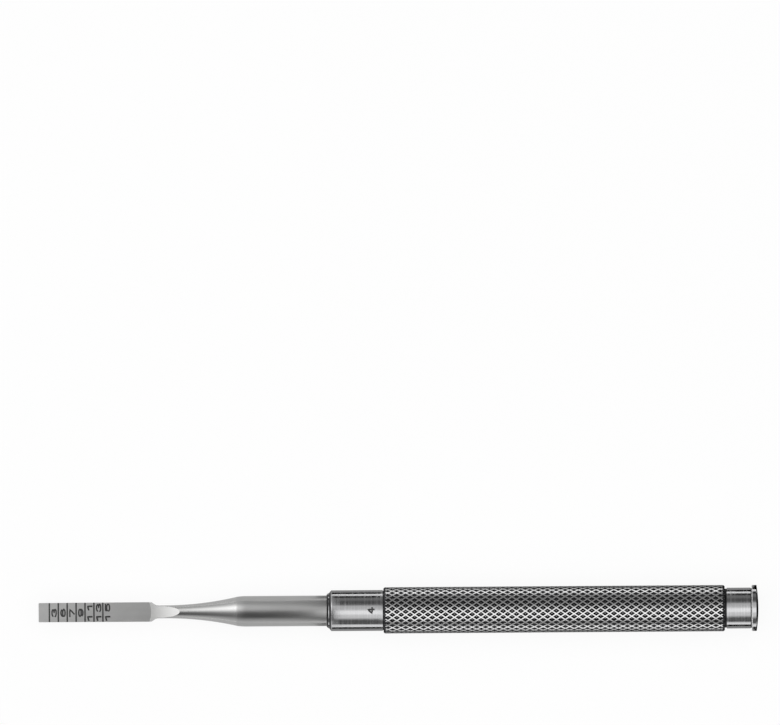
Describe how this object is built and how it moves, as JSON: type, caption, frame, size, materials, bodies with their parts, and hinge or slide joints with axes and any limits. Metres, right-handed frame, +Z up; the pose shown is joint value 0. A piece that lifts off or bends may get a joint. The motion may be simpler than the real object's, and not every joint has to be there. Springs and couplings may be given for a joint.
{
  "type": "surgical chisel",
  "caption": "Slim straight bone chisel: flat narrow blade with graduation lines on a tapered round shank, set into a round diamond-knurled handle with a domed striking flange.",
  "frame": {"origin": "on the surface that the chisel lies on, below the middle of its length", "axes": "+X along the chisel from its blade to its struck end, +Y across the blade's width, +Z up through the blade's flats"},
  "size_m": [0.15, 0.0096, 0.0096],
  "materials": {
    "satin_steel": "satin",
    "polished_steel": "polished, with a fine turned grain"
  },
  "bodies": {
    "root": {"blade_shank": "satin_steel", "handle": "polished_steel"}
  },
  "joints": []
}
